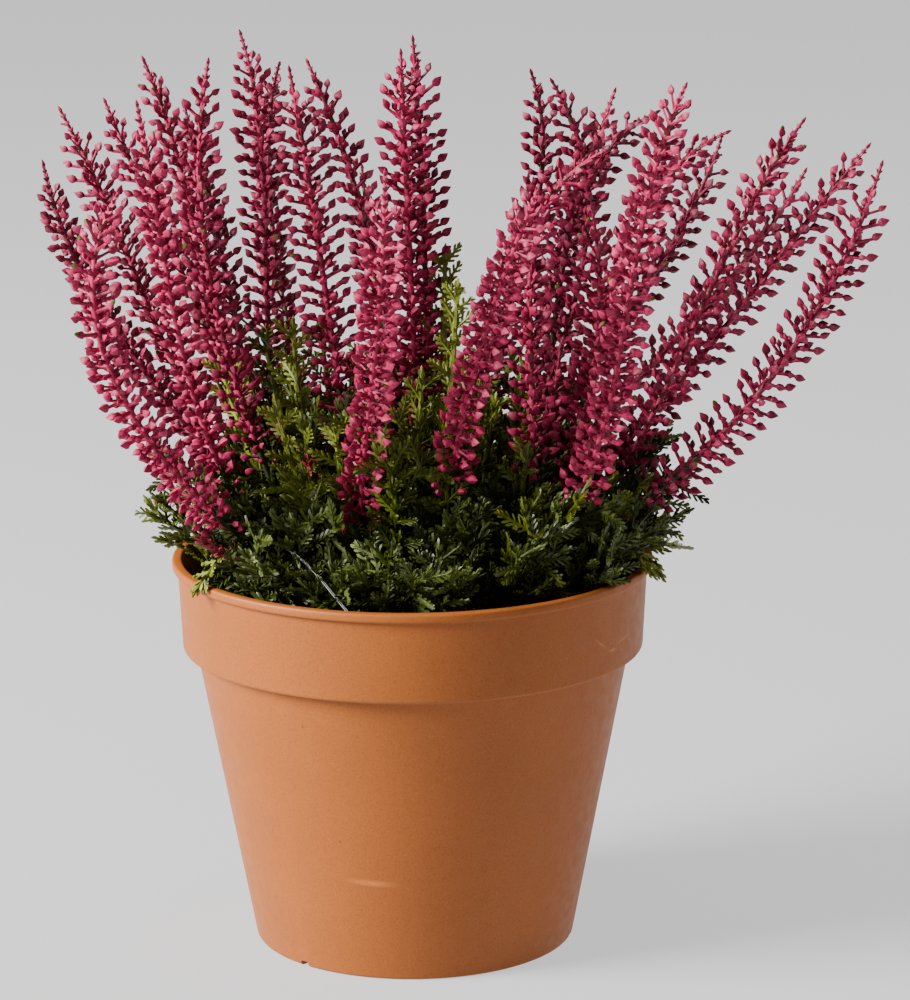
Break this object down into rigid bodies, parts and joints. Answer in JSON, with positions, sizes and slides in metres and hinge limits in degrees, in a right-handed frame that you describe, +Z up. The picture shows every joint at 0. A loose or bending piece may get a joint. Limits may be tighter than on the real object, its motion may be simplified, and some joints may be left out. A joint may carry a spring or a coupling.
{
  "type": "artificial potted heather",
  "caption": "Artificial heather in a plain nursery pot: upright moulded flower spikes fan out above a collar of fern-like green sprigs.",
  "frame": {"origin": "centre of the pot's flat underside", "axes": "+Z up along the pot's axis, -Y towards the front of the plant, +X to the right seen from the front"},
  "size_m": [0.2088, 0.1558, 0.2271],
  "materials": {
    "pot_plastic": "matte moulded terracotta-coloured plastic with a fine speckle",
    "filler_dark": "dark rough filler",
    "stem_plastic": "dull green moulded plastic",
    "flower_plastic": "satin crimson-pink moulded plastic buds",
    "foliage_plastic": "satin dark to yellow-green moulded plastic needles"
  },
  "bodies": {
    "root": {"pot": "pot_plastic", "filler": "filler_dark", "main_stem_01": "stem_plastic", "main_stem_02": "stem_plastic", "main_stem_03": "stem_plastic", "main_stem_04": "stem_plastic", "main_stem_05": "stem_plastic", "main_stem_06": "stem_plastic", "main_stem_07": "stem_plastic", "main_stem_08": "stem_plastic", "main_stem_09": "stem_plastic", "main_stem_10": "stem_plastic", "main_stem_11": "stem_plastic", "main_stem_12": "stem_plastic", "main_stem_13": "stem_plastic", "main_stem_14": "stem_plastic", "flower_spike_01": "flower_plastic", "flower_spike_02": "flower_plastic", "flower_spike_03": "flower_plastic", "flower_spike_04": "flower_plastic", "flower_spike_05": "flower_plastic", "flower_spike_06": "flower_plastic", "flower_spike_07": "flower_plastic", "flower_spike_08": "flower_plastic", "flower_spike_09": "flower_plastic", "flower_spike_10": "flower_plastic", "flower_spike_11": "flower_plastic", "flower_spike_12": "flower_plastic", "flower_spike_13": "flower_plastic", "flower_spike_14": "flower_plastic", "flower_spike_15": "flower_plastic", "flower_spike_16": "flower_plastic", "flower_spike_17": "flower_plastic", "flower_spike_18": "flower_plastic", "flower_spike_19": "flower_plastic", "flower_spike_20": "flower_plastic", "flower_spike_21": "flower_plastic", "flower_spike_22": "flower_plastic", "flower_spike_23": "flower_plastic", "flower_spike_24": "flower_plastic", "flower_spike_25": "flower_plastic", "flower_spike_26": "flower_plastic", "flower_spike_27": "flower_plastic", "flower_spike_28": "flower_plastic", "flower_spike_29": "flower_plastic", "flower_spike_30": "flower_plastic", "foliage_01": "foliage_plastic", "foliage_02": "foliage_plastic", "foliage_03": "foliage_plastic", "foliage_04": "foliage_plastic", "foliage_05": "foliage_plastic", "foliage_06": "foliage_plastic", "foliage_07": "foliage_plastic", "foliage_08": "foliage_plastic", "foliage_09": "foliage_plastic", "foliage_10": "foliage_plastic", "foliage_11": "foliage_plastic", "foliage_12": "foliage_plastic", "foliage_13": "foliage_plastic", "foliage_14": "foliage_plastic"}
  },
  "joints": []
}
